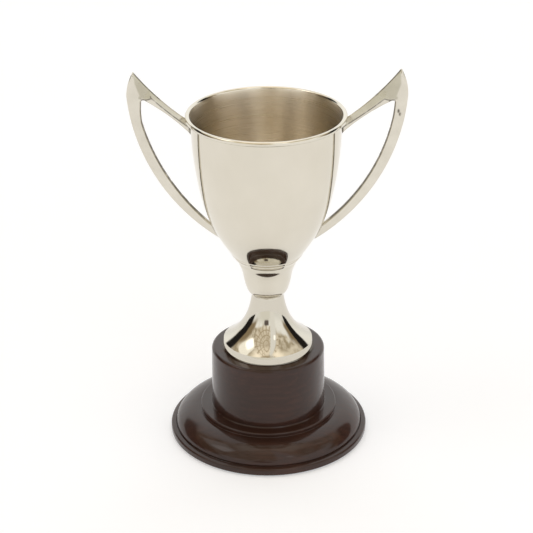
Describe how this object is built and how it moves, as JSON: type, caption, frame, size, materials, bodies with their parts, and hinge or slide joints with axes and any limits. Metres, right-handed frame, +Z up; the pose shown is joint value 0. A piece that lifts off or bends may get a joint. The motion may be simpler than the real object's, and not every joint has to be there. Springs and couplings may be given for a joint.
{
  "type": "cup trophy",
  "caption": "Tapered metal presentation cup with curved horn-tipped handles and a trumpet foot, bolted to a round turned plinth, to stand on a shelf.",
  "frame": {"origin": "centre of the underside of the felt, on the surface the trophy stands on", "axes": "+Z up along the cup's axis; +X towards the right handle; -Y towards the viewer"},
  "size_m": [0.134, 0.1, 0.1925],
  "materials": {
    "nickel": "polished nickel plate, slightly aged and warm, brushed inside the bowl",
    "dark_wood": "dark stained wood under gloss lacquer",
    "zinc_steel": "zinc plated, satin",
    "green_felt": "felt"
  },
  "bodies": {
    "root": {"bowl": "nickel", "handle_left": "nickel", "handle_right": "nickel", "foot": "nickel", "centre_bolt": "zinc_steel", "bowl_washer": "zinc_steel", "foot_washer": "zinc_steel", "foot_nut": "zinc_steel", "plinth_drum": "dark_wood", "plinth_base": "dark_wood", "plinth_washer": "zinc_steel", "plinth_nut": "zinc_steel", "base_felt": "green_felt"}
  },
  "joints": []
}
